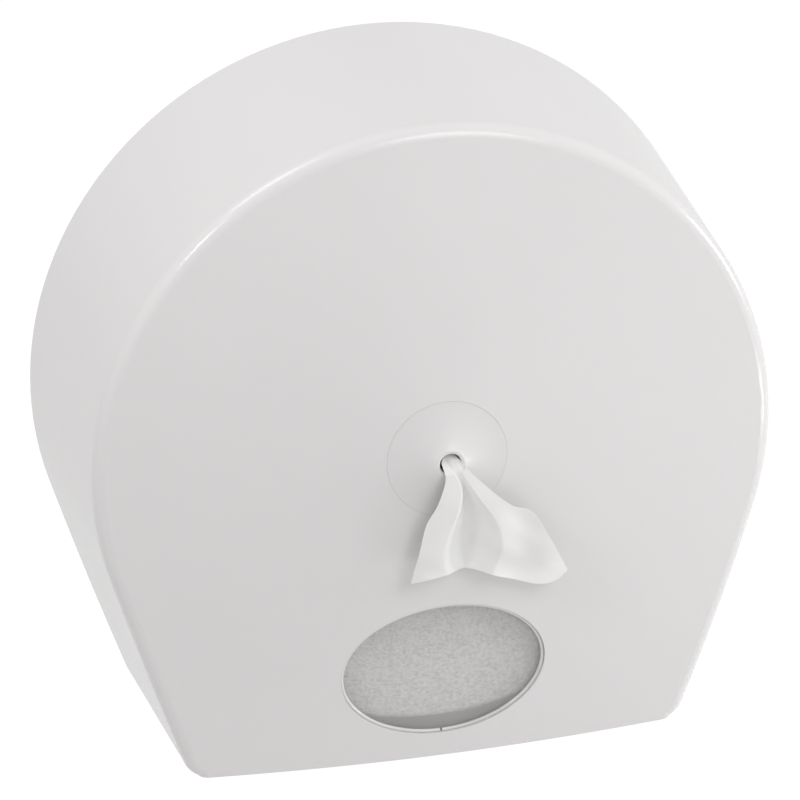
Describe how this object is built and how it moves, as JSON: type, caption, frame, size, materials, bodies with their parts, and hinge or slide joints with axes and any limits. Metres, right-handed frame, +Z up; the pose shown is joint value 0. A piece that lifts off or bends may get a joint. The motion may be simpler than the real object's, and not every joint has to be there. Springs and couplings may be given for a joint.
{
  "type": "centrefeed toilet paper dispenser",
  "caption": "Wall-mounted centrefeed tissue dispenser with a domed horseshoe cover, a flared nozzle, an oval window, a hinged front and a side key lock.",
  "frame": {"origin": "middle of the four wall screw holes, on the back face, level with the nozzle", "axes": "+Z up, -Y out of the wall towards the user, +X to the user's right when facing the dispenser; the wall is the plane Y = 0"},
  "size_m": [0.3219, 0.1573, 0.313],
  "materials": {
    "cover_plastic": "satin moulded plastic, slightly warm white",
    "nozzle_plastic": "satin moulded plastic",
    "window_clear": "clear moulded plastic, lightly smoked",
    "inner_plastic": "matte moulded plastic",
    "plate_plastic": "matte moulded plastic, fine texture",
    "steel": "zinc-plated steel",
    "lock_metal": "nickel-plated die casting",
    "tissue": "soft two-ply tissue"
  },
  "bodies": {
    "tray": {"back_plate": "plate_plastic", "roll_cradle": "plate_plastic", "cradle_screws": "steel", "right_clip": "plate_plastic", "left_clip": "plate_plastic", "clip_screws": "steel", "catch_plate": "steel", "catch_screws": "steel", "hinge_pins": "steel", "hinge_rings": "steel", "paper_roll": "tissue", "feed_strand": "tissue"},
    "cover": {"front_cover": "cover_plastic", "window_pane": "window_clear", "window_ring": "inner_plastic", "window_screws": "steel", "nozzle": "nozzle_plastic", "nozzle_ring": "inner_plastic", "nozzle_screws": "steel", "tissue_tail": "tissue", "lock_housing": "lock_metal", "lock_nut": "steel"},
    "lock": {"lock_barrel": "lock_metal", "lock_cam": "steel", "cam_screw": "steel"}
  },
  "joints": [
    {"name": "cover_hinge", "type": "hinge", "parent": "tray", "child": "cover", "pos_m": [0, -0.045, -0.1515], "axis": [1, 0, 0], "range_deg": [0, 100]},
    {"name": "lock_turn", "type": "hinge", "parent": "cover", "child": "lock", "pos_m": [0.15, -0.028, 0], "axis": [1, 0, 0], "range_deg": [0, 90]}
  ]
}
